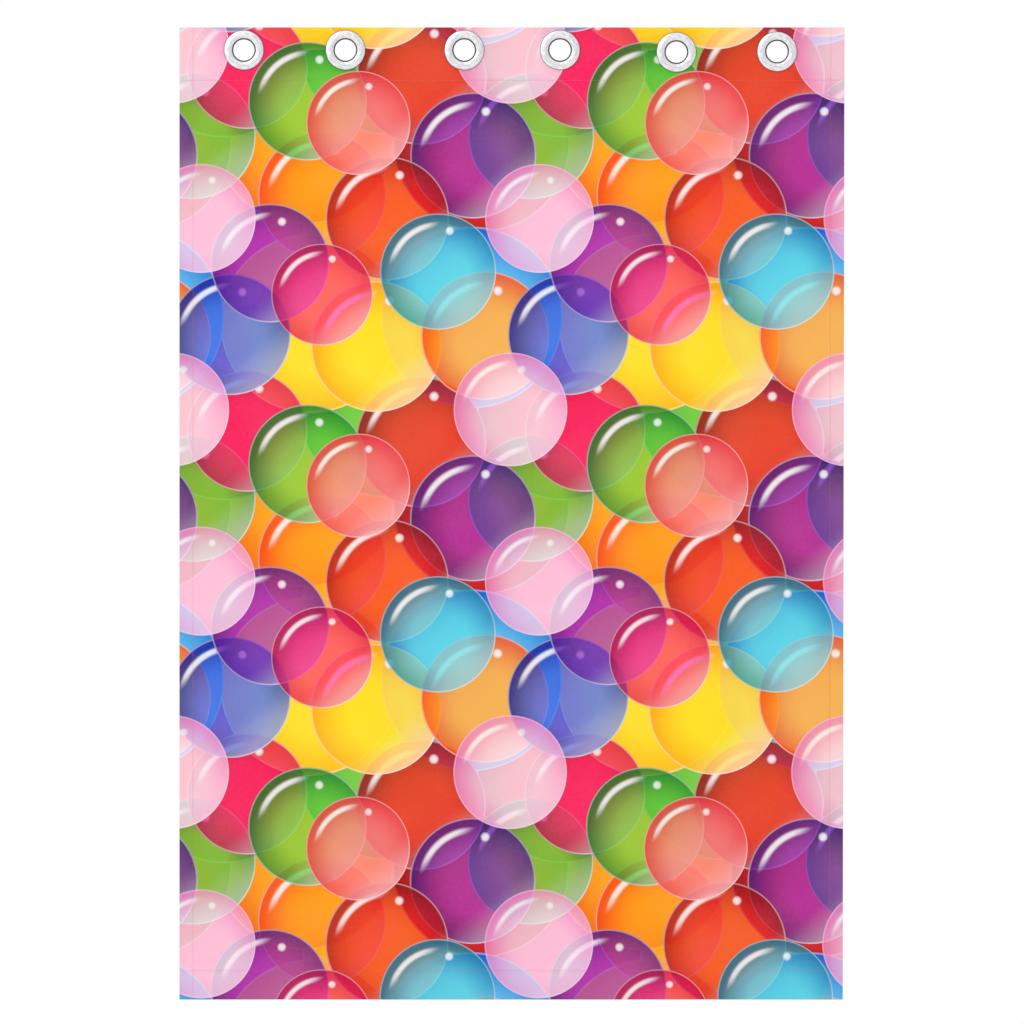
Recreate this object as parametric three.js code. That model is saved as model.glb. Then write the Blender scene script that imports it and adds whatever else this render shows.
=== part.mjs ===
// A short eyelet curtain, hung flat: one printed cloth with turned hems, and six two-part
// metal eyelets clamped through its heading.
// Millimetres, +Z up. The cloth hangs in the XZ plane with its printed face towards -Y.
// The origin is the middle of the top edge.

import * as THREE from "three";

// The cloth
const WIDTH = 1100;
const DROP = 1608;
const DRAWN_IN = 3; // the right edge comes in by this much at the bottom
const LAYER = 1.2; // thickness of the cloth in one layer
const HEMMED = 2.4; // thickness where a hem or the heading is turned to the back
const HEADING = 90;
const SIDE_HEM = 25;
const BOTTOM_HEM = 50;
const HEM_STEP = 1.5; // width of the slope at a hem's inner edge
const PARTING = 0.3; // gap between pieces that touch
const FRONT = -HEMMED / 2; // y of the printed face in the flat heading

// The faint folds of the hanging cloth. at: mm from the left edge under the heading.
// lean: mm to the right for each mm down. half: half width. rise: towards the viewer.
const SOFT_FOLDS = [
  { at: 62, lean: 0.012, half: 70, rise: 2.0 },
  { at: 192, lean: -0.018, half: 78, rise: -3.2 },
  { at: 366, lean: 0.022, half: 92, rise: 3.6 },
  { at: 552, lean: 0.01, half: 84, rise: -3.0 },
  { at: 724, lean: -0.02, half: 96, rise: 3.9 },
  { at: 902, lean: 0.016, half: 80, rise: -3.4 },
  { at: 1042, lean: -0.01, half: 66, rise: 1.8 },
];
const FOLD_GROWTH = 620; // mm below the heading at which the folds reach their full rise
const COLUMNS = 22; // cells across the panel between its side hems
const ROWS = 22; // cells down the panel above its bottom hem

// The eyelets. at: centre from the left edge. down: centre below the top edge.
const EYELETS = [
  { at: 106.5, down: 37.5 },
  { at: 274.5, down: 37.5 },
  { at: 471.0, down: 37.5 },
  { at: 629.5, down: 37.5 },
  { at: 822.0, down: 41.0 },
  { at: 988.5, down: 40.0 },
];
const HOLE_R = 17.5; // clear hole, where the rod goes
const BARREL_R = 19;
const BARREL_LIP = 0.8; // how far the barrel stands out of the back ring
const FLANGE_R = 33;
const FLANGE_RISE = 3.6; // how far the crown of the flange stands off the cloth
const FLANGE_ROLL = { wide: 6.5, deep: 2.4 }; // the turn from the barrel up to the crown
const FLANGE_FALL = 0.5; // how much lower the flange is where its rim begins
const FLANGE_RIM = { wide: 4.2, deep: 2.2 }; // the turn down at the outside
const FLANGE_TUCK = 0.6; // how far the rim's foot lies inside its widest line
const BACK_RING_R = 31.5;
const BACK_RING_RISE = 2.8;
const BACK_ROLL = { wide: 6.5, deep: 1.9 };
const BACK_CHAMFER = 0.6;
const CLOTH_HOLE_R = BARREL_R + PARTING;
const RING_STEPS = 36;
const ARC_STEPS = 3; // steps in each quarter turn of a ring's profile

const CLOTH_COLOUR = 0xd8566e;
const METAL_COLOUR = 0xd9dbde;

function clothMaterial() {
  return new THREE.MeshStandardMaterial({ color: CLOTH_COLOUR, roughness: 0.85, metalness: 0 });
}

function metalMaterial() {
  return new THREE.MeshStandardMaterial({ color: METAL_COLOUR, roughness: 0.3, metalness: 1 });
}

const smooth = (t) => {
  const c = Math.min(1, Math.max(0, t));
  return c * c * (3 - 2 * c);
};

// x of a point that lies s mm from the left edge on a curtain of full width, z below the top.
const across = (s, z) => -WIDTH / 2 + s * (1 - ((DRAWN_IN / WIDTH) * -z) / DROP);

// How far the printed face stands towards the viewer at s across and z down.
function drape(s, z) {
  const below = -z - HEADING;
  let rise = 0;
  for (const fold of SOFT_FOLDS) {
    const off = (s - fold.at - fold.lean * below) / fold.half;
    rise += fold.rise * Math.exp(-off * off);
  }
  return rise * smooth(below / FOLD_GROWTH);
}

function evenly(from, to, cells) {
  return Array.from({ length: cells + 1 }, (_, i) => from + ((to - from) * i) / cells);
}

// A closed solid from two faces over one grid. front and back give y at (s, z).
function gridSolid(spots, levels, front, back) {
  const positions = [];
  const faces = [];
  const wide = spots.length;
  const tall = levels.length;
  for (const y of [front, back]) {
    for (const z of levels) {
      for (const s of spots) positions.push(across(s, z), y(s, z), z);
    }
  }
  const at = (side, i, j) => side * wide * tall + j * wide + i;
  const quad = (a, b, c, d) => faces.push(a, b, c, a, c, d);
  for (let j = 0; j + 1 < tall; j++) {
    for (let i = 0; i + 1 < wide; i++) {
      quad(at(0, i, j), at(0, i, j + 1), at(0, i + 1, j + 1), at(0, i + 1, j));
      quad(at(1, i, j), at(1, i + 1, j), at(1, i + 1, j + 1), at(1, i, j + 1));
    }
    quad(at(0, 0, j), at(1, 0, j), at(1, 0, j + 1), at(0, 0, j + 1));
    quad(at(0, wide - 1, j), at(0, wide - 1, j + 1), at(1, wide - 1, j + 1), at(1, wide - 1, j));
  }
  for (let i = 0; i + 1 < wide; i++) {
    quad(at(0, i, 0), at(0, i + 1, 0), at(1, i + 1, 0), at(1, i, 0));
    quad(at(0, i, tall - 1), at(1, i, tall - 1), at(1, i + 1, tall - 1), at(0, i + 1, tall - 1));
  }
  const geometry = new THREE.BufferGeometry();
  geometry.setAttribute("position", new THREE.Float32BufferAttribute(positions, 3));
  geometry.setIndex(faces);
  geometry.computeVertexNormals();
  return geometry;
}

// The cloth below the heading, doubled towards the back at its sides and bottom.
function curtainPanel() {
  const left = SIDE_HEM + HEM_STEP;
  const right = WIDTH - SIDE_HEM - HEM_STEP;
  const low = -DROP + BOTTOM_HEM + HEM_STEP;
  const spots = [0, SIDE_HEM, ...evenly(left, right, COLUMNS), WIDTH - SIDE_HEM, WIDTH];
  const levels = [...evenly(-HEADING - PARTING, low, ROWS), -DROP + BOTTOM_HEM, -DROP];
  const hemmed = (s, z) => s < left || s > right || z < low;
  const front = (s, z) => FRONT - drape(s, z);
  const back = (s, z) => front(s, z) + (hemmed(s, z) ? HEMMED : LAYER);
  const mesh = new THREE.Mesh(gridSolid(spots, levels, front, back), clothMaterial());
  mesh.name = "curtain_panel";
  return mesh;
}

// The heading: the doubled top of the cloth, with a hole for each eyelet's barrel.
function headingStrip() {
  const outline = new THREE.Shape();
  outline.moveTo(across(0, 0), 0);
  outline.lineTo(across(0, -HEADING), -HEADING);
  outline.lineTo(across(WIDTH, -HEADING), -HEADING);
  outline.lineTo(across(WIDTH, 0), 0);
  outline.closePath();
  for (const eyelet of EYELETS) {
    const hole = new THREE.Path();
    hole.absarc(across(eyelet.at, -eyelet.down), -eyelet.down, CLOTH_HOLE_R, 0, 2 * Math.PI, true);
    outline.holes.push(hole);
  }
  const geometry = new THREE.ExtrudeGeometry(outline, {
    depth: HEMMED,
    bevelEnabled: false,
    curveSegments: RING_STEPS / 2,
  });
  const mesh = new THREE.Mesh(geometry, clothMaterial());
  mesh.name = "heading_strip";
  mesh.rotation.x = Math.PI / 2;
  mesh.position.y = -FRONT;
  return mesh;
}

// A quarter of an ellipse about (r, y), as profile points from one angle to the other in degrees.
function quarterTurn(r, y, turn, from, to) {
  return evenly(from, to, ARC_STEPS).map((angle) => {
    const a = THREE.MathUtils.degToRad(angle);
    return new THREE.Vector2(r + turn.wide * Math.cos(a), y + turn.deep * Math.sin(a));
  });
}

// A ring turned about the eyelet's own axis from a closed profile of (radius, y) points.
function turnedRing(name, profile, eyelet) {
  const closed = [...profile, profile[0].clone()];
  const mesh = new THREE.Mesh(new THREE.LatheGeometry(closed, RING_STEPS), metalMaterial());
  mesh.name = name;
  mesh.position.set(across(eyelet.at, -eyelet.down), 0, -eyelet.down);
  return mesh;
}

// Front ring: a domed flange on the printed face, rolled inwards into the barrel.
function eyeletFront(number, eyelet) {
  const seat = FRONT - PARTING;
  const crown = FRONT - FLANGE_RISE;
  const end = -FRONT + PARTING + BACK_RING_RISE + BARREL_LIP;
  const rollR = HOLE_R + FLANGE_ROLL.wide;
  const rimR = FLANGE_R - FLANGE_RIM.wide;
  const rimY = crown + FLANGE_FALL + FLANGE_RIM.deep;
  const profile = [
    new THREE.Vector2(HOLE_R, end),
    ...quarterTurn(rollR, crown + FLANGE_ROLL.deep, FLANGE_ROLL, 180, 270),
    ...quarterTurn(rimR, rimY, FLANGE_RIM, 270, 360),
    new THREE.Vector2(FLANGE_R - FLANGE_TUCK, seat),
    new THREE.Vector2(BARREL_R, seat),
    new THREE.Vector2(BARREL_R, end),
  ];
  return turnedRing(`eyelet_front_${number}`, profile, eyelet);
}

// Back ring: the washer that grips the barrel behind the heading.
function eyeletBack(number, eyelet) {
  const seat = -FRONT + PARTING;
  const crown = seat + BACK_RING_RISE;
  const rollR = BACK_RING_R - BACK_ROLL.wide;
  const profile = [
    new THREE.Vector2(CLOTH_HOLE_R, crown - BACK_CHAMFER),
    new THREE.Vector2(CLOTH_HOLE_R, seat),
    new THREE.Vector2(BACK_RING_R, seat),
    ...quarterTurn(rollR, crown - BACK_ROLL.deep, BACK_ROLL, 0, 90),
    new THREE.Vector2(CLOTH_HOLE_R + BACK_CHAMFER, crown),
  ];
  return turnedRing(`eyelet_back_${number}`, profile, eyelet);
}

const curtain = new THREE.Group();
curtain.name = "eyelet_curtain";
curtain.add(curtainPanel(), headingStrip());
EYELETS.forEach((eyelet, i) => {
  curtain.add(eyeletFront(i + 1, eyelet), eyeletBack(i + 1, eyelet));
});

export default curtain;
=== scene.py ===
import math

import bpy
import numpy as np
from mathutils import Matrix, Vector


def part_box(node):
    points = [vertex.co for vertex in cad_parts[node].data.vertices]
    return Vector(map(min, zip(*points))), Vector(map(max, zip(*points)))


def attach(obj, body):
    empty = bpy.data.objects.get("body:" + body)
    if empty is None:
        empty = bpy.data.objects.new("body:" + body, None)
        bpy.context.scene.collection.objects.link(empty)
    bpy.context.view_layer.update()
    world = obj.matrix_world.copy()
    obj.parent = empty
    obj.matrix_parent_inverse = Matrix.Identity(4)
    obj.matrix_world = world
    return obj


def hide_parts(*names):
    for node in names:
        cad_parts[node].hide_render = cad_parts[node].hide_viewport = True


# A short eyelet curtain, hung flat: one printed cloth with turned and sewn hems, and six
# two-part metal eyelets through its heading. Metres, +Z up, the printed face towards -Y.

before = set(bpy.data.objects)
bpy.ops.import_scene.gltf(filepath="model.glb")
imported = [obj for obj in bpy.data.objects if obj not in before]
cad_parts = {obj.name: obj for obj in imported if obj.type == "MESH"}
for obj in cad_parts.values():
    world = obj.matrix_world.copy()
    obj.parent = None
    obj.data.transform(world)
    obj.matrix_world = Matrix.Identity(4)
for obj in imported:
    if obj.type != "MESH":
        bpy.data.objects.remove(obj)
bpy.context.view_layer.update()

MM = 0.001
TIPPED_UP = (math.pi / 2, 0, 0)  # turns a thing so that its own +Z points along -Y

# What the frame gives
heading_low, heading_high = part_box("heading_strip")
panel_low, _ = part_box("curtain_panel")
WIDTH = heading_high.x - heading_low.x
DROP = heading_high.z - panel_low.z
HEADING = heading_high.z - heading_low.z
FRONT = heading_low.y  # y of the printed face where the cloth is flat
EYELET_COUNT = 6

# The cloth
CLOTH = 0.7 * MM  # one layer
HEMMED = 2.3 * MM  # where the cloth is turned to the back
SIDE_HEM = 25 * MM
BOTTOM_HEM = 50 * MM
HEM_SLOPE = 0.5 * MM
EDGE_ROUND = 0.65 * MM
EDGE_ROUND_STEPS = 3
SHARP = math.radians(50)  # an edge that turns more than this is rounded
CELL = 8 * MM
PUNCH_LONG = 8 * HEMMED  # well through the cloth
SLIVER = 0.01 * MM  # faces thinner than this are closed up
DRAWN_IN = 3 * MM  # the right edge comes in by this much at the bottom
EDGE_ZONE = 1 * MM  # this near an edge, the cloth is turning round it
HOLE_ZONE = 0.05 * MM  # a point this near a hole's radius is on the hole's wall
FACING = 0.1  # the least share of a face's normal that makes it face to the front or back
BAKE_LEFT = 0.64  # the front's share of the bake's width
BAKE_GAP = 0.015

# The faint folds of the hanging cloth. at: from the left edge under the heading.
# lean: to the right for each metre down. half: half width. rise: towards the viewer.
SOFT_FOLDS = [
    {"at": 62 * MM, "lean": 0.012, "half": 70 * MM, "rise": 2.0 * MM},
    {"at": 192 * MM, "lean": -0.018, "half": 78 * MM, "rise": -3.2 * MM},
    {"at": 366 * MM, "lean": 0.022, "half": 92 * MM, "rise": 3.6 * MM},
    {"at": 552 * MM, "lean": 0.010, "half": 84 * MM, "rise": -3.0 * MM},
    {"at": 724 * MM, "lean": -0.020, "half": 96 * MM, "rise": 3.9 * MM},
    {"at": 902 * MM, "lean": 0.016, "half": 80 * MM, "rise": -3.4 * MM},
    {"at": 1042 * MM, "lean": -0.010, "half": 66 * MM, "rise": 1.8 * MM},
]
FOLD_GROWTH = 620 * MM  # below the heading, where the folds reach their full rise
# The ripples that the tighter sewn edges leave. long: one wave along the edge.
EDGE_RIPPLES = [
    {"long": 143 * MM, "rise": 0.35 * MM, "start": 0.4},
    {"long": 87 * MM, "rise": 0.22 * MM, "start": 2.1},
]
RIPPLE_REACH = 38 * MM  # how far in from the edge the ripples die out

# The sewing
STITCH_PITCH = 3.2 * MM
STITCH_LONG = 2.7 * MM
STITCH_SIDES = 5
THREAD_R = 0.16 * MM
STITCH_ARCH = [  # along the stitch in stitch lengths, and how far its middle line stands off
    (-0.50, -1.2 * THREAD_R),
    (-0.36, 0.4 * THREAD_R),
    (0.00, 0.7 * THREAD_R),
    (0.36, 0.4 * THREAD_R),
    (0.50, -1.2 * THREAD_R),
]
SEAM_INSET = 2.5 * MM  # from a hem's inner edge to its line of stitches
SEAM_START = 3 * MM  # from the cloth's edge to a line's first stitch

# The eyelets: radius, and y from the middle of the heading. The front ring's flange turns in at
# the throat and steps back to its barrel, which goes through the cloth and is turned out behind.
BARREL_IN = 17.5 * MM  # the clear hole
BARREL_OUT = 19.0 * MM
THROAT = 19.4 * MM
LEDGE_DEPTH = 1.9 * MM  # how far the ledge in the throat lies behind the flange's crown
FLANGE_OUT = 33 * MM
CROWN = -4.8 * MM
FLANGE_DOME = 0.45 * MM  # how much lower the flange is at its two shoulders
INNER_SHOULDER = 1.5 * MM
OUTER_SHOULDER = 3.2 * MM
FOOT_TUCK = 0.6 * MM
BARREL_END = 5.1 * MM
BARREL_ROUND = 0.5 * MM
BACK_RING_IN = 19.25 * MM
BACK_RING_OUT = 31.5 * MM
BACK_CROWN = 4.3 * MM
BACK_SHOULDER = 2.4 * MM
BACK_GROOVE = {"from": 22.2 * MM, "to": 26.6 * MM, "deep": 0.9 * MM}
CLOTH_HOLE_R = 19.2 * MM
SEAT_GAP = 0.03 * MM  # between a ring and the cloth that it clamps
INNER_SHOULDER_FLATNESS = 0.8  # how deep the inner shoulder is for its width
OUTER_SHOULDER_SHARE = 0.62  # how deep the outer shoulder is for the flange's height there
BACK_SHOULDER_SHARE = 0.8  # the same for the back ring
GROOVE_LIP = {"out": 0.4, "deep": 0.25}  # the bend in the groove's side, in groove depths
RING_STEPS = 96
TURN_STEPS = 6  # steps in a quarter turn of a ring's profile
TOUCHING = 0.001 * MM  # a ring's first and last points, when it is closed, lie within this
DOME_STEPS = 8
SMOOTH_CLOTH, SMOOTH_THREAD, SMOOTH_RING = 38, 60, 40  # degrees

# The print. One repeat is PRINT_WIDE by PRINT_HIGH.
PRINT_WIDE = 560 * MM
PRINT_HIGH = 600 * MM
PRINT_GROUND = "F0781E"
LIGHT_ACROSS, LIGHT_UP = -0.64, 0.77  # the way to the light that the bubbles show
# Lengths on a bubble are in its radii, and each pair is where a mask starts and where it is full.
BODY_DEEPENS = (0.35, 1.2)
LIT_DEPTH = 0.30  # how much deeper the ink is on the side towards the light
BUBBLE_EDGE = (1.005, 0.995)
GROUND_RIM = (0.975, 0.990)
RIM = (0.970, 0.988)
WINDOW_INSIDE, WINDOW_OUTSIDE = (0.725, 0.785), (0.875, 0.815)
WINDOW_ENDS = (0.60, 0.78)  # along the way to the light, as is the glow
GLOW = (-0.35, -1.0)
DOT_ACROSS, DOT_UP = 0.20, 0.70  # the small light dot
DOT_OUT = 0.087  # its radius
DOT_CORE = 0.0005  # the squared radius of its brightest part
DOT_MIDDLE = DOT_CORE - DOT_ACROSS**2 - DOT_UP**2  # squared distances, less what is fixed
DOT_EDGE = DOT_OUT**2 - DOT_ACROSS**2 - DOT_UP**2
WINDOW_LIGHT, DOT_LIGHT, GLOW_LIGHT, RIM_LIGHT = 0.82, 0.78, 0.30, 0.30
RIM_COVER = 0.5  # how much of what the cover leaves open is hidden at a bubble's rim
INK_DEPTH = 1.09  # above 1, the inks print more deeply
INKS = {  # name: (where the light passes, where the bubble is deepest)
    "red": ("EE2C2C", "A00414"),
    "coral": ("FA8E8C", "E43C4C"),
    "orange": ("FEAC1A", "EE5A04"),
    "yellow": ("FFE02C", "F8A602"),
    "green": ("80D24A", "12862E"),
    "teal": ("70D8E0", "0284A2"),
    "sky": ("70CCF4", "0C6ACC"),
    "blue": ("547EE0", "16289C"),
    "violet": ("9C4CC4", "5C1C98"),
    "magenta": ("F43690", "B80060"),
    "blush": ("FFECF6", "EC94C6"),
}
# across and up place the centre in the repeat, and size is the radius, all in mm. cover is how
# much of what lies beneath is hidden, and stain how far the two inks mix, as in clear film.
GROUND_COLUMNS = ("across", "up", "size", "ink")
GROUND_ROWS = [
    (66, 84, 148, "magenta"),
    (352, 66, 148, "yellow"),
    (206, 232, 150, "orange"),
    (500, 216, 146, "red"),
    (74, 372, 146, "red"),
    (346, 380, 150, "green"),
    (216, 518, 148, "yellow"),
    (484, 528, 150, "sky"),
]
BUBBLE_COLUMNS = ("across", "up", "size", "ink", "cover", "stain")
BUBBLE_ROWS = [
    (22, 228, 104, "green", 0.94, 0.35),
    (236, 130, 106, "orange", 0.88, 0.45),
    (400, 322, 108, "red", 0.92, 0.12),
    (112, 340, 100, "magenta", 0.86, 0.50),
    (486, 196, 104, "violet", 0.92, 0.50),
    (326, 480, 108, "yellow", 0.92, 0.20),
    (506, 498, 106, "orange", 0.90, 0.40),
    (84, 500, 100, "blue", 0.90, 0.30),
    (212, 286, 98, "green", 0.88, 0.30),
    (344, 92, 102, "red", 0.86, 0.35),
    (428, 604, 96, "teal", 0.88, 0.30),
    (150, 18, 98, "violet", 0.88, 0.40),
    (548, 376, 94, "blush", 0.68, 0.15),
    (296, 250, 86, "coral", 0.82, 0.15),
    (36, 92, 90, "blush", 0.64, 0.15),
    (236, 566, 84, "magenta", 0.84, 0.50),
]

# The cloth's surface
YARN = 0.55 * MM
YARN_SWAY = 1.1  # how far the yarns wander, in yarns
YARN_WAVER = 160  # waves of that for each metre
YARN_CROSSING = 0.5  # how much higher the weave is where crowns meet
PUCKER_WAVES = 85  # for each metre
CLOUDS = 9  # for each metre
YARN_MOTTLING = 0.5  # the yarns' share of the mottling, where the clouds' is 1
# Distances from a line of stitches. Heights there are in depths of its groove.
GROOVE_HALF, GROOVE_FLOOR = 1.6 * MM, 0.2 * MM
NEEDLE_DENT = 0.35  # how much deeper and shallower the groove gets from stitch to stitch
PUCKER_REACH, PUCKER_FULL, PUCKER_RISE = 16 * MM, 1 * MM, 1.6
WEAVE_HEIGHTS = (0.1, 1.3)  # from the hollows to the crowns
WEAVE_RELIEF = {"distance": 0.07 * MM, "strength": 0.5}
SEWING_RELIEF = {"distance": 0.30 * MM, "strength": 0.6}
FACE_FINISH = {"Sheen Weight": 0.03, "Sheen Roughness": 0.45, "Specular IOR Level": 0.18}
FACE_ROUGHNESS = (0.70, 0.80)  # as the mottling grows
FACE_WEAVE_PAINTED_SHADE = (0.93, 1.03)  # painted shade in the weave's hollows to painted highlight on its crowns
BARE_PATCHES = (0.55, 1.0, 0.012)  # the mottling where the ink thins, and by how much
REVERSE_FINISH = {"Roughness": 0.85, "Sheen Weight": 0.15, "Specular IOR Level": 0.25}
# painted shade in the weave's hollows to a faint painted highlight on its crowns
REVERSE_WEAVE_PAINTED_SHADE = (0.90, 1.02)
REVERSE_YARN = (0.86, 0.845, 0.83, 1)
SHOW_THROUGH = (0.13, 0.21)  # the print's share on the reverse, as the mottling grows

# The metal and the thread
NICKEL_BRIGHT = (0.99, 0.99, 1.0, 1)
NICKEL_CLOUDED = (0.74, 0.74, 0.77, 1)
# the next three are painted shade: in the turned lines' grooves, along the foot where the ring
# meets the cloth, and in the throat
NICKEL_PAINTED_SHADE_IN_LINES = (0.52, 0.52, 0.56, 1)
NICKEL_PAINTED_SHADE_AT_FOOT = (0.16, 0.17, 0.19, 1)
NICKEL_PAINTED_SHADE_IN_THROAT = (0.06, 0.06, 0.07, 1)
NICKEL_ROUGHNESS = (0.25, 0.45)  # as the cloudiness grows
CLOUDS_CLEAR = (0.34, 0.66)  # the cloudiness where the metal is dullest, and brightest
# Where a painted shade starts, where it is full, and how much of it there is: first by a line's
# height, then by the distance from the ring's middle.
LINE_PAINTED_SHADE = (0.60, 0.34, 0.55)
FOOT_PAINTED_SHADE = (31.6 * MM, 32.8 * MM, 0.85)
THROAT_PAINTED_SHADE = (20.4 * MM, 19.3 * MM, 0.95)
TURNED_MARKS = {  # how often they change round the ring and for each metre outwards, and detail
    "Lines": (2.2, 2600, 2),
    "Cloudiness": (3.4, 420, 3),
}
LINE_RELIEF = {"distance": 0.02 * MM, "strength": 0.35}
# the thread's rose in painted shade in the twist's grooves, and with painted highlight on its
# ridges
THREAD_IN_PAINTED_SHADE = (0.50, 0.13, 0.10, 1)
THREAD_IN_PAINTED_HIGHLIGHT = (0.74, 0.30, 0.24, 1)
THREAD_ROUGHNESS = (0.45, 0.60)
TWIST_WAVES, TWIST_WANDER = 900, 1.5
TWIST_RELIEF = {"distance": 0.05 * MM, "strength": 0.5}

CLOTH_UV = "Cloth"  # the piece's flat cloth, in metres from its top left corner
BAKE_UV = "OFBake"
RING_UV = "Ring"  # across and up from the eyelet's centre, in metres

# The studio
VIEW_WIDE = 1.6938  # what the picture's width covers
VIEW_CENTRE_DOWN = 0.8016
LONG_LENS = 1200  # mm, for a view as flat as the photograph's
SENSOR = 36  # mm
FLOOR_BELOW = 200 * MM
FLOOR_WIDE = 20.0
FLOOR_DULLER, FLOOR_PALER = (0.84, 0.84, 0.84, 1), (0.87, 0.87, 0.86, 1)
FLOOR_CLOUDS = 3  # for each metre
ROOM_LIGHT = 0.88
STUDIO_LIGHTS = [
    {"name": "key", "at": (-4.0, -6.5, 3.5), "size": 5.5, "watts": 200},
    {"name": "behind", "at": (3.5, 6.5, 3.0), "size": 5.5, "watts": 150},
]


def smooth(t):
    t = np.clip(t, 0, 1)
    return t * t * (3 - 2 * t)


def across(s, z):
    """x of a point s from the left edge of the flat cloth, at height z of the hanging one."""
    return -WIDTH / 2 + s * (1 - DRAWN_IN / WIDTH * -z / DROP)


def flat_place(x, z):
    """How far from the left edge of the flat cloth a point of the hanging one lies."""
    return (x + WIDTH / 2) / (1 - DRAWN_IN / WIDTH * -z / DROP)


def drape(s, z):
    """How far the cloth stands towards the viewer at s across and z down."""
    below = -z - HEADING
    rise = 0
    for fold in SOFT_FOLDS:
        off = (s - fold["at"] - fold["lean"] * below) / fold["half"]
        rise = rise + fold["rise"] * np.exp(-off * off)
    ripples = 0
    for ripple in EDGE_RIPPLES:
        turn = -z * 2 * np.pi / ripple["long"] + ripple["start"]
        ripples = ripples + ripple["rise"] * np.sin(turn)
    near_edge = np.exp(-s / RIPPLE_REACH) - np.exp(-(WIDTH - s) / RIPPLE_REACH)
    return (rise + ripples * near_edge) * smooth(below / FOLD_GROWTH)


def deselect():
    if bpy.context.mode != "OBJECT":
        bpy.ops.object.mode_set(mode="OBJECT")
    bpy.ops.object.select_all(action="DESELECT")


def take(*pieces):
    """Selects these pieces alone and makes the first the active one."""
    deselect()
    for piece in pieces:
        piece.select_set(True)
    bpy.context.view_layer.objects.active = pieces[0]


def edit_all(piece):
    """Puts the piece in edit mode with all of it selected, by its points."""
    take(piece)
    bpy.ops.object.mode_set(mode="EDIT")
    bpy.ops.mesh.select_mode(type="VERT")
    bpy.ops.mesh.select_all(action="SELECT")


def place_in_mesh(piece):
    """Puts the piece's place, turn and scale into its points, and its origin at zero."""
    take(piece)
    bpy.ops.object.transform_apply(location=True, rotation=True, scale=True)


def select_faces(piece, wanted):
    """Leaves the piece in edit mode with the faces selected whose centre and normal are wanted."""
    take(piece)
    bpy.ops.object.mode_set(mode="EDIT")
    bpy.ops.mesh.select_mode(type="FACE")
    bpy.ops.mesh.select_all(action="DESELECT")
    bpy.ops.object.mode_set(mode="OBJECT")
    for face in piece.data.polygons:
        face.select = wanted(face.center, face.normal)
    bpy.ops.object.mode_set(mode="EDIT")


def points_of(mesh):
    points = np.empty(len(mesh.vertices) * 3)
    mesh.vertices.foreach_get("co", points)
    return points.reshape(-1, 3)


def move_points(mesh, points):
    mesh.vertices.foreach_set("co", points.ravel())
    mesh.update()


def apply_modifier(piece, kind, **settings):
    take(piece)
    modifier = piece.modifiers.new(kind.title(), kind)
    for name, value in settings.items():
        setattr(modifier, name, value)
    bpy.ops.object.modifier_apply(modifier=modifier.name)


def smooth_faces(piece, degrees):
    take(piece)
    bpy.ops.object.shade_smooth_by_angle(angle=math.radians(degrees))


def put_uv(mesh, name, spots):
    layer = mesh.uv_layers.get(name) or mesh.uv_layers.new(name=name)
    layer.uv.foreach_set("vector", spots.ravel())
    return layer


def hang(piece):
    """Turns a piece made on the flat cloth into one on the hanging cloth."""
    points = points_of(piece.data)
    s = points[:, 0] + WIDTH / 2
    z = points[:, 2]
    points[:, 1] -= drape(s, z)
    points[:, 0] = across(s, z)
    move_points(piece.data, points)


def eyelet_centres():
    """Each eyelet's centre as (x, z), from the solids of the front rings."""
    centres = []
    for number in range(1, EYELET_COUNT + 1):
        low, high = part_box(f"eyelet_front_{number}")
        centres.append(((low.x + high.x) / 2, (low.z + high.z) / 2))
    return centres


# Node trees


def put(tree, kind, **settings):
    node = tree.nodes.new(kind)
    for name, value in settings.items():
        setattr(node, name, value)
    return node


def feed(tree, socket, value):
    if isinstance(value, bpy.types.NodeSocket):
        tree.links.new(value, socket)
    else:
        socket.default_value = value


def sums(tree, operation, *values):
    node = put(tree, "ShaderNodeMath", operation=operation)
    for socket, value in zip(node.inputs, values):
        feed(tree, socket, value)
    return node.outputs["Value"]


def vectors(tree, operation, *values, gives="Vector"):
    node = put(tree, "ShaderNodeVectorMath", operation=operation)
    for socket, value in zip(node.inputs, values):
        feed(tree, socket, value)
    return node.outputs[gives]


def ranging(tree, share, least, most):
    """least where the share is 0 and most where it is 1."""
    return sums(tree, "MULTIPLY_ADD", share, most - least, least)


def between(tree, value, start, end, most=1.0):
    """0 where the value is at start, most where it is at end, and smooth in between."""
    # smoothstep keeps its own limits, and a clamp here would be a node more in every bubble
    node = put(tree, "ShaderNodeMapRange", interpolation_type="SMOOTHSTEP", clamp=False)
    feed(tree, node.inputs["Value"], value)
    node.inputs["From Min"].default_value = start
    node.inputs["From Max"].default_value = end
    node.inputs["To Max"].default_value = most
    return node.outputs["Result"]


def mixed(tree, share, first, second, blend="MIX"):
    """The first colour with that share of the second mixed in."""
    node = put(tree, "ShaderNodeMix", data_type="RGBA", blend_type=blend, clamp_factor=True)
    feed(tree, node.inputs["Factor"], share)
    first_socket, second_socket = (s for s in node.inputs if s.type == "RGBA")
    feed(tree, first_socket, first)
    feed(tree, second_socket, second)
    return next(s for s in node.outputs if s.type == "RGBA")


def parts_of(tree, spot):
    """The X, Y and Z of a spot, by name."""
    node = put(tree, "ShaderNodeSeparateXYZ")
    feed(tree, node.inputs["Vector"], spot)
    return node.outputs


def noise(tree, spot, scale, detail, dimensions="2D"):
    """Soft patches, about as many as the scale for each unit of the spot."""
    node = put(tree, "ShaderNodeTexNoise", noise_dimensions=dimensions)
    feed(tree, node.inputs["Vector"], spot)
    node.inputs["Scale"].default_value = scale
    node.inputs["Detail"].default_value = detail
    return node.outputs


def ink(code):
    """A linear colour from a hexadecimal code of two digits each for red, green and blue."""
    parts = [int(code[i : i + 2], 16) / 255 for i in (0, 2, 4)]
    linear = [c / 12.92 if c <= 0.04045 else ((c + 0.055) / 1.055) ** 2.4 for c in parts]
    return (*linear, 1)


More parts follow.
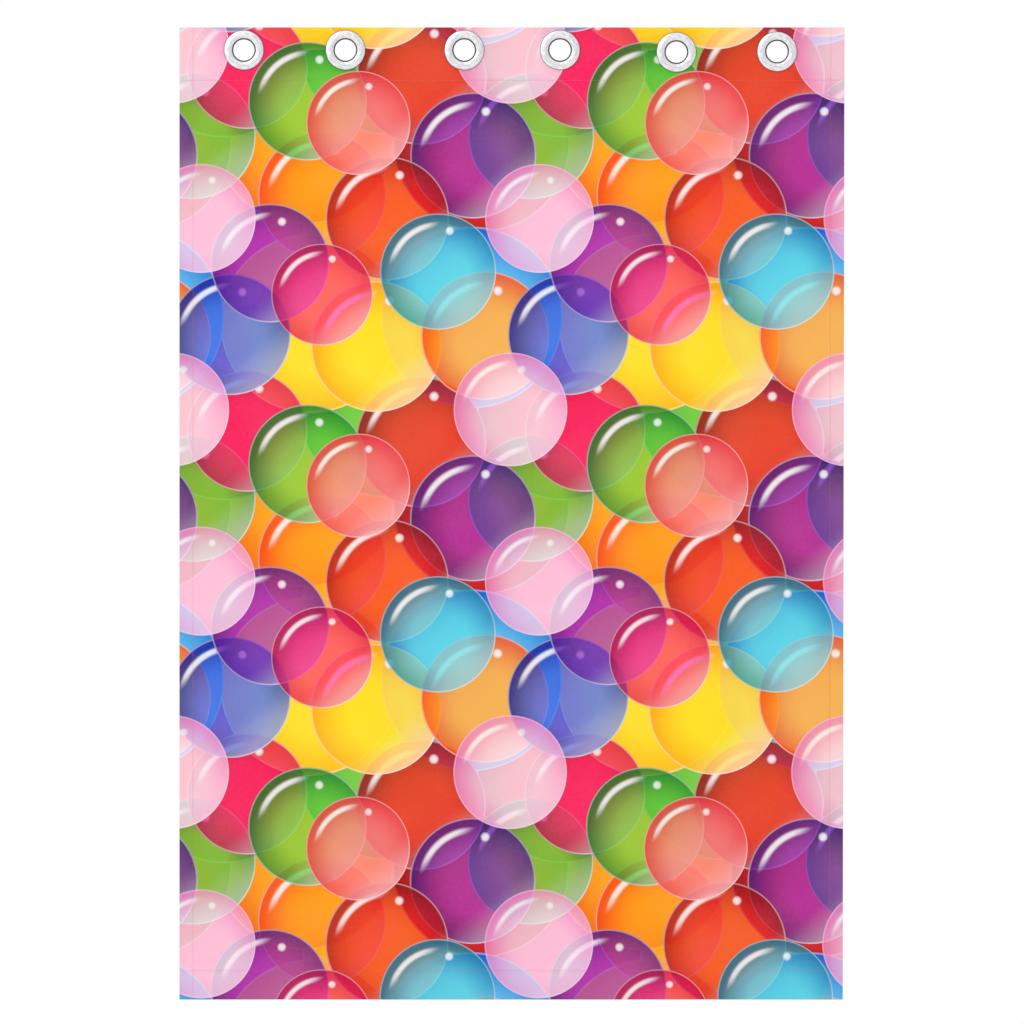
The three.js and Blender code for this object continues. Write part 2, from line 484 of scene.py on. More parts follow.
def new_group(name, takes, gives):
    """An empty shader group. takes: (name, kind, starting value). gives: (name, kind)."""
    tree = bpy.data.node_groups.new(name, "ShaderNodeTree")
    for label, kind, value in takes:
        socket = tree.interface.new_socket(label, in_out="INPUT", socket_type=kind)
        socket.default_value = value
    for label, kind in gives:
        tree.interface.new_socket(label, in_out="OUTPUT", socket_type=kind)
    return tree, put(tree, "NodeGroupInput").outputs, put(tree, "NodeGroupOutput").inputs


def place_group(tree, group, **values):
    """Places a group in a tree. A value's name is its socket's, with _ for a space."""
    node = put(tree, "ShaderNodeGroup", node_tree=group)
    for name, value in values.items():
        feed(tree, node.inputs[name.replace("_", " ")], value)
    return node.outputs


COLOUR, NUMBER, VECTOR = "NodeSocketColor", "NodeSocketFloat", "NodeSocketVector"
WHITE = (1, 1, 1, 1)


BUBBLE_SOCKETS = [
    ("Across", NUMBER, 0),
    ("Up", NUMBER, 0),
    ("Centre across", NUMBER, 0),
    ("Centre up", NUMBER, 0),
    ("Size", NUMBER, 0.1),
    ("Light ink", COLOUR, WHITE),
    ("Deep ink", COLOUR, WHITE),
    ("Beneath", COLOUR, WHITE),
]


def round_body(tree, given):
    """Where a spot lies on a bubble, in every repeat, and the bubble's own shaded colour there.

    Each step is a plain number node, which keeps the long chain of bubbles light to render.
    """
    per_size = sums(tree, "DIVIDE", 1, given["Size"])

    def from_centre(at, centre, repeat):
        """How far a spot lies from the centre of its own repeat, in bubble radii."""
        high = sums(tree, "ADD", centre, repeat / 2)
        low = sums(tree, "SUBTRACT", centre, repeat / 2)
        in_repeat = sums(tree, "WRAP", at, high, low)
        less = sums(tree, "MULTIPLY", sums(tree, "MULTIPLY", centre, -1), per_size)
        return sums(tree, "MULTIPLY_ADD", in_repeat, per_size, less)

    x = from_centre(given["Across"], given["Centre across"], PRINT_WIDE)
    y = from_centre(given["Up"], given["Centre up"], PRINT_HIGH)
    out_squared = sums(tree, "MULTIPLY_ADD", x, x, sums(tree, "MULTIPLY", y, y))
    out = sums(tree, "SQRT", out_squared)
    lit = sums(tree, "MULTIPLY_ADD", x, LIGHT_ACROSS, sums(tree, "MULTIPLY", y, LIGHT_UP))
    outer = between(tree, out, *BODY_DEEPENS)
    depth = sums(tree, "MULTIPLY_ADD", lit, LIT_DEPTH, outer)
    body = mixed(tree, depth, given["Light ink"], given["Deep ink"])
    inside = between(tree, out, *BUBBLE_EDGE)
    return x, y, out_squared, out, lit, outer, body, inside


def ground_bubble():
    """A large opaque bubble of the print's ground, with a thin pale rim."""
    tree, given, result = new_group("Ground bubble", BUBBLE_SOCKETS, [("Colour", COLOUR)])
    *_, out, _, _, body, inside = round_body(tree, given)
    finished = mixed(tree, between(tree, out, *GROUND_RIM, RIM_LIGHT), body, WHITE)
    feed(tree, result["Colour"], mixed(tree, inside, given["Beneath"], finished))
    return tree


def printed_bubble():
    """A clear glossy bubble, laid over the colour beneath it."""
    takes = BUBBLE_SOCKETS + [("Cover", NUMBER, 1), ("Stain", NUMBER, 0)]
    tree, given, result = new_group("Printed bubble", takes, [("Colour", COLOUR)])
    x, y, out_squared, out, lit, outer, body, inside = round_body(tree, given)

    # the lights on it: a curved window and a small dot, a glow opposite them, and the rim
    dot = sums(tree, "MULTIPLY_ADD", x, -2 * DOT_ACROSS, out_squared)
    dot = sums(tree, "MULTIPLY_ADD", y, -2 * DOT_UP, dot)
    window_sides = (between(tree, out, *side) for side in (WINDOW_INSIDE, WINDOW_OUTSIDE))
    window = sums(tree, "MULTIPLY", *window_sides)
    window_ends = between(tree, lit, *WINDOW_ENDS, WINDOW_LIGHT)
    dot_light = between(tree, dot, DOT_EDGE, DOT_MIDDLE, DOT_LIGHT)
    lights = sums(tree, "MULTIPLY_ADD", window, window_ends, dot_light)
    lights = sums(tree, "ADD", lights, between(tree, lit, *GLOW, GLOW_LIGHT))
    lights = sums(tree, "ADD", lights, between(tree, out, *RIM, RIM_LIGHT))

    # the ink over what lies beneath
    crossed = mixed(tree, given["Stain"], body, given["Beneath"], "OVERLAY")
    finished = mixed(tree, lights, crossed, WHITE)
    rim_cover = sums(tree, "MULTIPLY_ADD", given["Cover"], -RIM_COVER, RIM_COVER)
    cover = sums(tree, "MULTIPLY_ADD", outer, rim_cover, given["Cover"])
    hides = sums(tree, "MULTIPLY", inside, sums(tree, "MAXIMUM", cover, lights))
    feed(tree, result["Colour"], mixed(tree, hides, given["Beneath"], finished))
    return tree


def bubble_print():
    """The whole print, bubble over bubble, at a spot on the flat cloth."""
    takes = [("Spot", VECTOR, (0, 0, 0))]
    tree, given, result = new_group("Bubble print", takes, [("Colour", COLOUR)])
    spot = parts_of(tree, given["Spot"])
    colour = ink(PRINT_GROUND)
    for bubble, columns, rows in (
        (ground_bubble(), GROUND_COLUMNS, GROUND_ROWS),
        (printed_bubble(), BUBBLE_COLUMNS, BUBBLE_ROWS),
    ):
        for values in rows:
            row = dict(zip(columns, values))
            light, deep = INKS[row["ink"]]
            settings = {
                "Across": spot["X"],
                "Up": spot["Y"],
                "Centre_across": row["across"] * MM,
                "Centre_up": row["up"] * MM - DROP,
                "Size": row["size"] * MM,
                "Light_ink": ink(light),
                "Deep_ink": ink(deep),
                "Beneath": colour,
            }
            if "cover" in row:
                settings.update(Cover=row["cover"], Stain=row["stain"])
            colour = place_group(tree, bubble, **settings)["Colour"]
    depth = put(tree, "ShaderNodeGamma")
    feed(tree, depth.inputs["Color"], colour)
    depth.inputs["Gamma"].default_value = INK_DEPTH
    feed(tree, result["Colour"], depth.outputs["Color"])
    return tree


def plain_weave():
    """A plain weave of slightly uneven yarns: its height, and how high each yarn's crown is."""
    tree, given, result = new_group(
        "Plain weave",
        [("Spot", VECTOR, (0, 0, 0)), ("Yarn", NUMBER, YARN)],
        [("Height", NUMBER), ("Unevenness", NUMBER)],
    )
    uneven = noise(tree, given["Spot"], YARN_WAVER, detail=1)
    sway = vectors(tree, "SCALE", uneven["Color"])
    sway.node.inputs["Scale"].default_value = YARN_SWAY
    yarns = vectors(tree, "DIVIDE", given["Spot"], given["Yarn"])
    counted = vectors(tree, "ADD", yarns, sway)
    count = parts_of(tree, counted)

    def crown(yarn):
        """How high a yarn's rounded top stands, over each whole count of yarns."""
        return sums(tree, "ABSOLUTE", sums(tree, "SINE", sums(tree, "MULTIPLY", yarn, math.pi)))

    warp, weft = crown(count["X"]), crown(count["Y"])
    over = put(tree, "ShaderNodeTexChecker")
    feed(tree, over.inputs["Vector"], counted)
    over.inputs["Scale"].default_value = 1
    top = put(tree, "ShaderNodeMix", data_type="FLOAT")
    feed(tree, top.inputs["Factor"], over.outputs["Fac"])
    feed(tree, top.inputs["A"], warp)
    feed(tree, top.inputs["B"], weft)
    both = sums(tree, "MULTIPLY", sums(tree, "MULTIPLY", warp, weft), YARN_CROSSING)
    feed(tree, result["Height"], sums(tree, "ADD", top.outputs["Result"], both))
    feed(tree, result["Unevenness"], uneven["Fac"])
    return tree


def sewn_line():
    """The groove, needle dents and puckers that a line of stitches leaves in the cloth."""
    tree, given, result = new_group(
        "Sewn line",
        [("Off", NUMBER, 0), ("Along", NUMBER, 0), ("Pull", NUMBER, 0)],
        [("Height", NUMBER)],
    )
    off = sums(tree, "ABSOLUTE", given["Off"])
    groove = between(tree, off, GROOVE_HALF, GROOVE_FLOOR)
    beat = sums(tree, "COSINE", sums(tree, "MULTIPLY", given["Along"], 2 * math.pi / STITCH_PITCH))
    depth = sums(tree, "MULTIPLY_ADD", beat, -NEEDLE_DENT, NEEDLE_DENT - 1)
    dents = sums(tree, "MULTIPLY", groove, depth)
    reach = between(tree, off, PUCKER_REACH, PUCKER_FULL, PUCKER_RISE)
    feed(tree, result["Height"], sums(tree, "MULTIPLY_ADD", given["Pull"], reach, dents))
    return tree


def cloth_surface():
    """What both sides of the cloth share: the height of weave and sewing, and its mottling."""
    tree, given, result = new_group(
        "Cloth surface",
        [("Spot", VECTOR, (0, 0, 0))],
        [("Weave", NUMBER), ("Sewing", NUMBER), ("Mottling", NUMBER)],
    )
    weave = place_group(tree, plain_weave(), Spot=given["Spot"])
    spot = parts_of(tree, given["Spot"])
    s, up = spot["X"], spot["Y"]
    from_middle = sums(tree, "ABSOLUTE", sums(tree, "SUBTRACT", s, WIDTH / 2))
    pull = noise(tree, given["Spot"], PUCKER_WAVES, detail=0)["Fac"]
    line = sewn_line()
    seams = (
        (sums(tree, "SUBTRACT", from_middle, WIDTH / 2 - SIDE_HEM + SEAM_INSET), up),
        (sums(tree, "ADD", up, HEADING - SEAM_INSET), s),
        (sums(tree, "ADD", up, DROP - BOTTOM_HEM + SEAM_INSET), s),
    )
    sewing = 0
    for off, along in seams:
        height = place_group(tree, line, Off=off, Along=along, Pull=pull)["Height"]
        sewing = sums(tree, "ADD", height, sewing)
    cloudy = noise(tree, given["Spot"], CLOUDS, detail=2)["Fac"]
    mottling = sums(tree, "MULTIPLY_ADD", weave["Unevenness"], YARN_MOTTLING, cloudy)
    feed(tree, result["Weave"], weave["Height"])
    feed(tree, result["Sewing"], sewing)
    feed(tree, result["Mottling"], mottling)
    return tree


def new_material(name, finish):
    """A material, its node tree and its shader's sockets, set from a finish of named values."""
    material = bpy.data.materials.new(name)
    material.use_nodes = True
    shader = material.node_tree.nodes["Principled BSDF"].inputs
    for label, value in finish.items():
        shader[label].default_value = value
    return material, material.node_tree, shader


def uv_spot(tree, name):
    return put(tree, "ShaderNodeUVMap", uv_map=name).outputs["UV"]


def raised(tree, height, distance, strength, onto=None):
    """The normals of a surface with this relief, laid over those of another relief if given."""
    bump = put(tree, "ShaderNodeBump")
    bump.inputs["Strength"].default_value = strength
    bump.inputs["Distance"].default_value = distance
    feed(tree, bump.inputs["Height"], height)
    if onto is not None:
        feed(tree, bump.inputs["Normal"], onto)
    return bump.outputs["Normal"]


def cloth_relief(tree, surface):
    sewn = raised(tree, surface["Sewing"], **SEWING_RELIEF)
    return raised(tree, surface["Weave"], **WEAVE_RELIEF, onto=sewn)


def printed_face_material(bubbles, surface_group):
    material, tree, shader = new_material("Printed cloth face", FACE_FINISH)
    spot = uv_spot(tree, CLOTH_UV)
    surface = place_group(tree, surface_group, Spot=spot)
    colour = place_group(tree, bubbles, Spot=spot)["Colour"]
    # the ink takes a little less in cloudy patches; painted shade darkens it between the yarns and
    # painted highlight lightens it on their crowns
    bare = between(tree, surface["Mottling"], *BARE_PATCHES)
    faded = mixed(tree, bare, colour, WHITE)
    shade = ranging(tree, between(tree, surface["Weave"], *WEAVE_HEIGHTS), *FACE_WEAVE_PAINTED_SHADE)
    feed(tree, shader["Base Color"], mixed(tree, 1.0, faded, shade, "MULTIPLY"))
    feed(tree, shader["Roughness"], ranging(tree, surface["Mottling"], *FACE_ROUGHNESS))
    feed(tree, shader["Normal"], cloth_relief(tree, surface))
    return material


def reverse_material(bubbles, surface_group):
    """The unprinted side: white yarn with the print showing through faintly."""
    material, tree, shader = new_material("Cloth reverse", REVERSE_FINISH)
    spot = uv_spot(tree, CLOTH_UV)
    surface = place_group(tree, surface_group, Spot=spot)
    colour = place_group(tree, bubbles, Spot=spot)["Colour"]
    through = ranging(tree, surface["Mottling"], *SHOW_THROUGH)
    pale = mixed(tree, through, REVERSE_YARN, colour)
    # painted shade between the yarns and painted highlight on their crowns, from the weave's
    # height
    shade = ranging(tree, between(tree, surface["Weave"], *WEAVE_HEIGHTS), *REVERSE_WEAVE_PAINTED_SHADE)
    feed(tree, shader["Base Color"], mixed(tree, 1.0, pale, shade, "MULTIPLY"))
    feed(tree, shader["Normal"], cloth_relief(tree, surface))
    return material


def turned_metal():
    """Fine lines turned round a ring's own axis: their height, and a slower cloudiness."""
    tree, given, result = new_group(
        "Turned metal",
        [("Spot", VECTOR, (0, 0, 0)), ("Radius", NUMBER, 0)],
        [("Lines", NUMBER), ("Cloudiness", NUMBER)],
    )
    way = parts_of(tree, vectors(tree, "NORMALIZE", given["Spot"]))
    for name, (round_it, outwards, detail) in TURNED_MARKS.items():
        spot = put(tree, "ShaderNodeCombineXYZ")
        feed(tree, spot.inputs["X"], sums(tree, "MULTIPLY", way["X"], round_it))
        feed(tree, spot.inputs["Y"], sums(tree, "MULTIPLY", way["Y"], round_it))
        feed(tree, spot.inputs["Z"], sums(tree, "MULTIPLY", given["Radius"], outwards))
        marks = noise(tree, spot.outputs["Vector"], 1, detail, dimensions="3D")
        feed(tree, result[name], marks["Fac"])
    return tree


def eyelet_material():
    """Satin nickel, with painted shade in its turned lines' grooves, along the foot and in the
    throat.
    """
    material, tree, shader = new_material("Satin nickel", {"Metallic": 1.0})
    spot = uv_spot(tree, RING_UV)
    radius = vectors(tree, "LENGTH", spot, gives="Value")
    metal = place_group(tree, turned_metal(), Spot=spot, Radius=radius)
    clear = between(tree, metal["Cloudiness"], *CLOUDS_CLEAR)
    colour = mixed(tree, clear, NICKEL_CLOUDED, NICKEL_BRIGHT)
    for mark, mask, shade in (
        # painted shade in the turned lines' grooves, along the foot and in the throat
        (metal["Lines"], LINE_PAINTED_SHADE, NICKEL_PAINTED_SHADE_IN_LINES),
        (radius, FOOT_PAINTED_SHADE, NICKEL_PAINTED_SHADE_AT_FOOT),
        (radius, THROAT_PAINTED_SHADE, NICKEL_PAINTED_SHADE_IN_THROAT),
    ):
        colour = mixed(tree, between(tree, mark, *mask), colour, shade)
    feed(tree, shader["Base Color"], colour)
    feed(tree, shader["Roughness"], ranging(tree, metal["Cloudiness"], *NICKEL_ROUGHNESS))
    feed(tree, shader["Normal"], raised(tree, metal["Lines"], **LINE_RELIEF))
    return material


def thread_material():
    """Rose polyester thread, near the print's own middle colour, with its twist, painted shade in
    the twist's grooves and painted highlight on its ridges.
    """
    material, tree, shader = new_material("Sewing thread", {})
    place = put(tree, "ShaderNodeTexCoord").outputs["Object"]
    twist = put(tree, "ShaderNodeTexWave", wave_type="BANDS", bands_direction="DIAGONAL")
    feed(tree, twist.inputs["Vector"], place)
    twist.inputs["Scale"].default_value = TWIST_WAVES
    twist.inputs["Distortion"].default_value = TWIST_WANDER
    height = twist.outputs["Fac"]
    # painted shade in the twist's grooves, painted highlight on its ridges
    feed(tree, shader["Base Color"], mixed(tree, height, THREAD_IN_PAINTED_SHADE, THREAD_IN_PAINTED_HIGHLIGHT))
    feed(tree, shader["Roughness"], ranging(tree, height, *THREAD_ROUGHNESS))
    feed(tree, shader["Normal"], raised(tree, height, **TWIST_RELIEF))
    return material


# Pieces


def make_cloth():
    """The flat cloth: a thin closed sheet with its hems raised on the back."""
    deselect()
    bpy.ops.mesh.primitive_grid_add(
        x_subdivisions=round(WIDTH / CELL),
        y_subdivisions=round(DROP / CELL),
        size=1,
        location=(0, FRONT, -DROP / 2),
        rotation=TIPPED_UP,
    )
    cloth = bpy.context.object
    cloth.name = cloth.data.name = "curtain_cloth"
    cloth.scale = (WIDTH, DROP, 1)
    place_in_mesh(cloth)

    hem_x = WIDTH / 2 - SIDE_HEM
    hem_top = -HEADING
    hem_low = -DROP + BOTTOM_HEM
    bpy.ops.object.mode_set(mode="EDIT")
    for point, way in (
        ((-hem_x, 0, 0), (1, 0, 0)),
        ((hem_x, 0, 0), (1, 0, 0)),
        ((0, 0, hem_top), (0, 0, 1)),
        ((0, 0, hem_low), (0, 0, 1)),
    ):
        bpy.ops.mesh.select_all(action="SELECT")
        bpy.ops.mesh.bisect(plane_co=point, plane_no=way)
    bpy.ops.mesh.select_all(action="SELECT")
    bpy.ops.mesh.extrude_region_move(TRANSFORM_OT_translate={"value": (0, HEMMED, 0)})
    bpy.ops.mesh.select_all(action="SELECT")
    bpy.ops.mesh.normals_make_consistent(inside=False)

    def in_one_layer(centre, normal):
        return normal.y > FACING and abs(centre.x) < hem_x and hem_low < centre.z < hem_top

    select_faces(cloth, in_one_layer)
    bpy.ops.mesh.extrude_region_move(TRANSFORM_OT_translate={"value": (0, CLOTH - HEMMED, 0)})
    half_high = (hem_top - hem_low) / 2
    bpy.ops.transform.resize(
        value=(1 - HEM_SLOPE / hem_x, 1, 1 - HEM_SLOPE / half_high),
        center_override=(0, 0, (hem_top + hem_low) / 2),
    )
    bpy.ops.object.mode_set(mode="OBJECT")
    apply_modifier(
        cloth,
        "BEVEL",
        width=EDGE_ROUND,
        segments=EDGE_ROUND_STEPS,
        limit_method="ANGLE",
        angle_limit=SHARP,
    )
    return cloth


def cut_eyelet_holes(cloth, centres):
    deselect()
    punches = []
    for x, z in centres:
        bpy.ops.mesh.primitive_cylinder_add(
            vertices=RING_STEPS,
            radius=CLOTH_HOLE_R,
            depth=PUNCH_LONG,
            location=(flat_place(x, z) - WIDTH / 2, 0, z),
            rotation=TIPPED_UP,
        )
        punches.append(bpy.context.object)
    take(*punches)
    bpy.ops.object.join()
    punch = bpy.context.object
    place_in_mesh(punch)
    apply_modifier(cloth, "BOOLEAN", object=punch, operation="DIFFERENCE", solver="EXACT")
    bpy.data.objects.remove(punch)
    edit_all(cloth)
    bpy.ops.mesh.dissolve_degenerate(threshold=SLIVER)
    bpy.ops.object.mode_set(mode="OBJECT")


def lay_out_cloth(cloth, centres):
    """Gives each face its place on the flat printed cloth, its side, and its place in the bake."""
    mesh = cloth.data
    points = points_of(mesh)
    corners = np.empty(len(mesh.loops), int)
    mesh.loops.foreach_get("vertex_index", corners)
    sizes = np.empty(len(mesh.polygons), int)
    mesh.polygons.foreach_get("loop_total", sizes)
    normals = np.empty(len(mesh.polygons) * 3)
    mesh.polygons.foreach_get("normal", normals)
    middles = np.empty(len(mesh.polygons) * 3)
    mesh.polygons.foreach_get("center", middles)
    normals, middles = normals.reshape(-1, 3), middles.reshape(-1, 3)

    # where each face is
    mid_s = middles[:, 0] + WIDTH / 2
    mid_down = -middles[:, 2]
    faces_back = normals[:, 1] > FACING
    in_top = mid_down < HEADING + HEM_SLOPE
    in_bottom = mid_down > DROP - BOTTOM_HEM - HEM_SLOPE
    in_left = mid_s < SIDE_HEM + HEM_SLOPE
    in_right = mid_s > WIDTH - SIDE_HEM - HEM_SLOPE
    hem = np.select([in_top, in_bottom, in_left, in_right], [1, 2, 3, 4], 0)
    hem = np.where(faces_back, hem, 0)
    reverse = faces_back & (hem == 0)
    mesh.polygons.foreach_set("material_index", reverse.astype(int))

    # the same for each face corner
    back, hem = np.repeat(faces_back, sizes), np.repeat(hem, sizes)
    s = points[corners, 0] + WIDTH / 2
    down = -points[corners, 2]
    deep = points[corners, 1] - FRONT
    round_s = (WIDTH - s < EDGE_ZONE) * 1.0 - (s < EDGE_ZONE) * 1.0
    round_up = (down < EDGE_ZONE) * 1.0 - (DROP - down < EDGE_ZONE) * 1.0

    flat_s = s + round_s * deep
    flat_up = -down + round_up * deep
    turned_s = np.select([hem == 3, hem == 4], [-s - deep, 2 * WIDTH - s + deep], s)
    turned_up = np.select([hem == 1, hem == 2], [down + deep, -2 * DROP + down - deep], -down)
    print_s = np.where(back, turned_s, flat_s)
    print_up = np.where(back, turned_up, flat_up)
    put_uv(mesh, CLOTH_UV, np.column_stack([print_s, print_up])).active_render = True

    # the bake: the front large on the left, the back smaller on the right
    margin = 2 * EDGE_ZONE
    right_share = 1 - BAKE_LEFT - 3 * BAKE_GAP
    behind = HEMMED - deep
    bake_s = np.where(back, s + round_s * behind, flat_s) + margin
    bake_up = np.where(back, -down + round_up * behind, flat_up) + DROP + margin
    faces_sideways = np.abs(np.repeat(normals[:, 1], sizes)) < FACING
    for x, z in centres:
        off_s, off_up = s - flat_place(x, z), -down - z
        out = np.hypot(off_s, off_up)
        wall = (np.abs(out - CLOTH_HOLE_R) < HOLE_ZONE) & faces_sideways
        bake_s = bake_s - wall * deep * off_s / np.maximum(out, MM)
        bake_up = bake_up - wall * deep * off_up / np.maximum(out, MM)
    wide = WIDTH + 2 * margin
    scale = np.where(back, right_share, BAKE_LEFT) / wide
    start = np.where(back, BAKE_LEFT + 2 * BAKE_GAP, BAKE_GAP)
    put_uv(mesh, BAKE_UV, np.column_stack([start + bake_s * scale, BAKE_GAP + bake_up * scale]))


def make_seam(name, start, way, length, out, thread):
    """A line of stitches on the flat cloth. out is the side that it lies on: -1 front, 1 back."""
    deselect()
    arch = [(along * STITCH_LONG, out * off) for along, off in STITCH_ARCH]
    bpy.ops.mesh.primitive_circle_add(
        vertices=STITCH_SIDES,
        radius=THREAD_R,
        fill_type="NGON",
        location=(0, arch[0][1], arch[0][0]),
    )
    seam = bpy.context.object
    seam.name = seam.data.name = name
    edit_all(seam)
    for (along, off), (next_along, next_off) in zip(arch, arch[1:]):
        step = (0, next_off - off, next_along - along)
        bpy.ops.mesh.extrude_region_move(TRANSFORM_OT_translate={"value": step})
    bpy.ops.mesh.select_all(action="SELECT")
    bpy.ops.mesh.normals_make_consistent(inside=False)
    bpy.ops.object.mode_set(mode="OBJECT")
    place_in_mesh(seam)
    seam.rotation_euler = (0, math.pi / 2, 0) if way == "across" else (0, math.pi, 0)
    place_in_mesh(seam)
    step = (STITCH_PITCH, 0, 0) if way == "across" else (0, 0, -STITCH_PITCH)
    apply_modifier(
        seam,
        "ARRAY",
        count=int(length / STITCH_PITCH),
        use_relative_offset=False,
        use_constant_offset=True,
        constant_offset_displace=step,
    )
    seam.location = start
    place_in_mesh(seam)
    seam.data.materials.append(thread)
    return seam


def make_sewing(side, out, thread):
    """All four lines of stitches as they show on one side of the cloth."""
    y = FRONT if out < 0 else FRONT + HEMMED
    side_x = WIDTH / 2 - SIDE_HEM + SEAM_INSET
    start_x = SEAM_START - WIDTH / 2
    heading_z = -HEADING + SEAM_INSET
    bottom_z = -DROP + BOTTOM_HEM - SEAM_INSET
    down, across_it = DROP - 2 * SEAM_START, WIDTH - 2 * SEAM_START
    seams = [
        make_seam(f"{side}_{name}_seam", (x, y, z), way, length, out, thread)
        for name, x, z, way, length in (
            ("left", -side_x, -SEAM_START, "down", down),
            ("right", side_x, -SEAM_START, "down", down),
            ("heading", start_x, heading_z, "across", across_it),
            ("bottom", start_x, bottom_z, "across", across_it),
        )
    ]
    take(*seams)
    bpy.ops.object.join()
    sewing = bpy.context.object
    sewing.name = sewing.data.name = f"{side}_stitches"
    hang(sewing)
    smooth_faces(sewing, SMOOTH_THREAD)
    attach(sewing, "root")
    return sewing


def quarter(r, y, wide, deep, start, end):
    """Points of an ellipse about (r, y), from one angle to the other in degrees."""
    angles = [math.radians(start + (end - start) * i / TURN_STEPS) for i in range(TURN_STEPS + 1)]
    return [(r + wide * math.cos(a), y + deep * math.sin(a)) for a in angles]


def dome(from_r, to_r, y, rise):
    """Points of a low dome between two radii, not counting its ends."""
    shares = [i / DOME_STEPS for i in range(1, DOME_STEPS)]
    return [(from_r + (to_r - from_r) * t, y - rise * math.sin(math.pi * t)) for t in shares]


def turned_ring(name, profile):
    """A ring about the Y axis through the origin, drawn out of a circle along a closed profile."""
    deselect()
    r, y = profile[0]
    bpy.ops.mesh.primitive_circle_add(
        vertices=RING_STEPS,
        radius=r,
        fill_type="NOTHING",
        location=(0, y, 0),
        rotation=TIPPED_UP,
    )
    ring = bpy.context.object
    ring.name = ring.data.name = name
    place_in_mesh(ring)
    edit_all(ring)
    for next_r, next_y in profile[1:] + profile[:1]:
        bpy.ops.mesh.extrude_region_move(TRANSFORM_OT_translate={"value": (0, next_y - y, 0)})
        bpy.ops.transform.resize(value=(next_r / r, 1, next_r / r), center_override=(0, next_y, 0))
        r, y = next_r, next_y
    bpy.ops.mesh.select_all(action="SELECT")
    bpy.ops.mesh.remove_doubles(threshold=TOUCHING)
    bpy.ops.mesh.normals_make_consistent(inside=False)
    bpy.ops.object.mode_set(mode="OBJECT")
    points = points_of(ring.data)
    corners = np.empty(len(ring.data.loops), int)
    ring.data.loops.foreach_get("vertex_index", corners)
    put_uv(ring.data, RING_UV, points[corners][:, [0, 2]])
    return ring


def front_profile():
    """From the barrel's end forward to the ledge, over the flange to its foot, and back."""
    seat = FRONT - SEAT_GAP
    shoulder = CROWN + FLANGE_DOME
    ledge = CROWN + LEDGE_DEPTH
    inner_r = THROAT + INNER_SHOULDER
    outer_r = FLANGE_OUT - OUTER_SHOULDER
    outer_deep = OUTER_SHOULDER_SHARE * (seat - shoulder)
    inner_deep = INNER_SHOULDER_FLATNESS * INNER_SHOULDER
    rounding = BARREL_ROUND
    middle = (BARREL_IN + BARREL_OUT) / 2
    half = (BARREL_OUT - BARREL_IN) / 2
    return [
        (BARREL_IN, ledge + rounding),
        *quarter(BARREL_IN + rounding, ledge + rounding, rounding, rounding, 180, 270)[1:],
        (THROAT, ledge),
        *quarter(inner_r, shoulder + inner_deep, INNER_SHOULDER, inner_deep, 180, 270),
        *dome(inner_r, outer_r, shoulder, FLANGE_DOME),
        *quarter(outer_r, shoulder + outer_deep, OUTER_SHOULDER, outer_deep, 270, 360),
        (FLANGE_OUT - FOOT_TUCK, seat),
        (BARREL_OUT, seat),
        (BARREL_OUT, BARREL_END - half),
        *quarter(middle, BARREL_END - half, half, half, 0, 180)[1:],
    ]


def back_profile():
    """The washer behind the heading, with the groove that stiffens it."""
    seat = FRONT + HEMMED + SEAT_GAP
    near, far, deep = BACK_GROOVE["from"], BACK_GROOVE["to"], BACK_GROOVE["deep"]
    lip_out, lip_y = deep * GROOVE_LIP["out"], BACK_CROWN - deep * GROOVE_LIP["deep"]
    outer_r = BACK_RING_OUT - BACK_SHOULDER
    outer_deep = BACK_SHOULDER_SHARE * (BACK_CROWN - seat)
    rounding = BARREL_ROUND
    return [
        (BACK_RING_IN, seat),
        (BACK_RING_OUT - FOOT_TUCK / 2, seat),
        *quarter(outer_r, BACK_CROWN - outer_deep, BACK_SHOULDER, outer_deep, 0, 90),
        (far + deep, BACK_CROWN),
        (far + lip_out, lip_y),
        (far, BACK_CROWN - deep),
        (near, BACK_CROWN - deep),
        (near - lip_out, lip_y),
        (near - deep, BACK_CROWN),
        *quarter(BACK_RING_IN + rounding, BACK_CROWN - rounding, rounding, rounding, 90, 180),
    ]


def fit_eyelets(centres, nickel):
    for side, profile in (("front", front_profile()), ("back", back_profile())):
        master = turned_ring(f"{side}_ring_master", profile)
        smooth_faces(master, SMOOTH_RING)
        master.data.materials.append(nickel)
        for number, (x, z) in enumerate(centres, 1):
            ring = bpy.data.objects.new(f"{side}_ring_{number}", master.data.copy())
            ring.data.name = ring.name
            bpy.context.collection.objects.link(ring)
            ring.location = (x, 0, z)
            place_in_mesh(ring)
            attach(ring, "root")
            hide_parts(f"eyelet_{side}_{number}")
        bpy.data.objects.remove(master)


# The studio


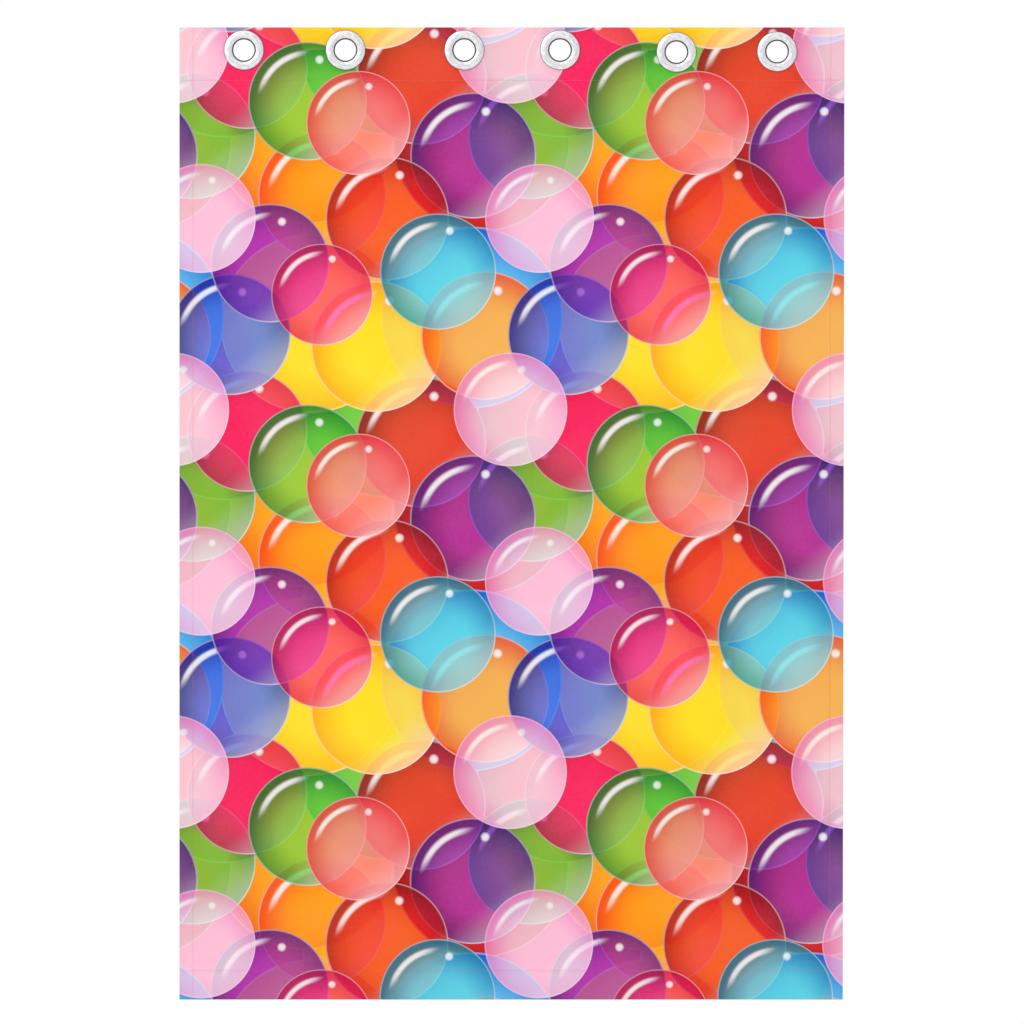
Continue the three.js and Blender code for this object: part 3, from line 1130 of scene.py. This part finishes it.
def build_studio():
    deselect()
    bpy.ops.mesh.primitive_plane_add(size=FLOOR_WIDE, location=(0, 0, -DROP - FLOOR_BELOW))
    floor = bpy.context.object
    floor.name = "studio_floor"
    place_in_mesh(floor)
    material, tree, shader = new_material("Pale floor", {"Roughness": 0.7})
    place = put(tree, "ShaderNodeTexCoord").outputs["Object"]
    patches = noise(tree, place, FLOOR_CLOUDS, detail=4)["Fac"]
    feed(tree, shader["Base Color"], mixed(tree, patches, FLOOR_DULLER, FLOOR_PALER))
    floor.data.materials.append(material)

    world = bpy.context.scene.world or bpy.data.worlds.new("Studio")
    bpy.context.scene.world = world
    world.use_nodes = True
    tree = world.node_tree
    background = tree.nodes["Background"]
    background.inputs["Color"].default_value = WHITE
    seen = put(tree, "ShaderNodeLightPath").outputs["Is Camera Ray"]
    feed(tree, background.inputs["Strength"], ranging(tree, seen, ROOM_LIGHT, 1))

    middle = Vector((0, 0, -DROP / 2))
    for light in STUDIO_LIGHTS:
        bpy.ops.object.light_add(type="AREA", location=light["at"])
        lamp = bpy.context.object
        lamp.name = f"studio_{light['name']}"
        lamp.data.size = light["size"]
        lamp.data.energy = light["watts"]
        lamp.rotation_euler = (middle - lamp.location).to_track_quat("-Z", "Y").to_euler()
    bpy.context.scene.view_settings.view_transform = "Standard"


def aim_camera():
    away = VIEW_WIDE * LONG_LENS / SENSOR
    bpy.ops.object.camera_add(location=(0, -away, -VIEW_CENTRE_DOWN), rotation=TIPPED_UP)
    camera = bpy.context.object
    camera.data.lens = LONG_LENS
    camera.data.sensor_width = SENSOR
    camera.data.clip_end = 2 * away
    bpy.context.scene.camera = camera


# Run

centres = eyelet_centres()
cloth = make_cloth()
cut_eyelet_holes(cloth, centres)
bubbles = bubble_print()
surface_group = cloth_surface()
cloth.data.materials.clear()
cloth.data.materials.append(printed_face_material(bubbles, surface_group))
cloth.data.materials.append(reverse_material(bubbles, surface_group))
lay_out_cloth(cloth, centres)
hang(cloth)
smooth_faces(cloth, SMOOTH_CLOTH)
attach(cloth, "root")
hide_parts("curtain_panel", "heading_strip")
thread = thread_material()
front_sewing = make_sewing("front", -1, thread)
back_sewing = make_sewing("back", 1, thread)
fit_eyelets(centres, eyelet_material())

build_studio()
aim_camera()
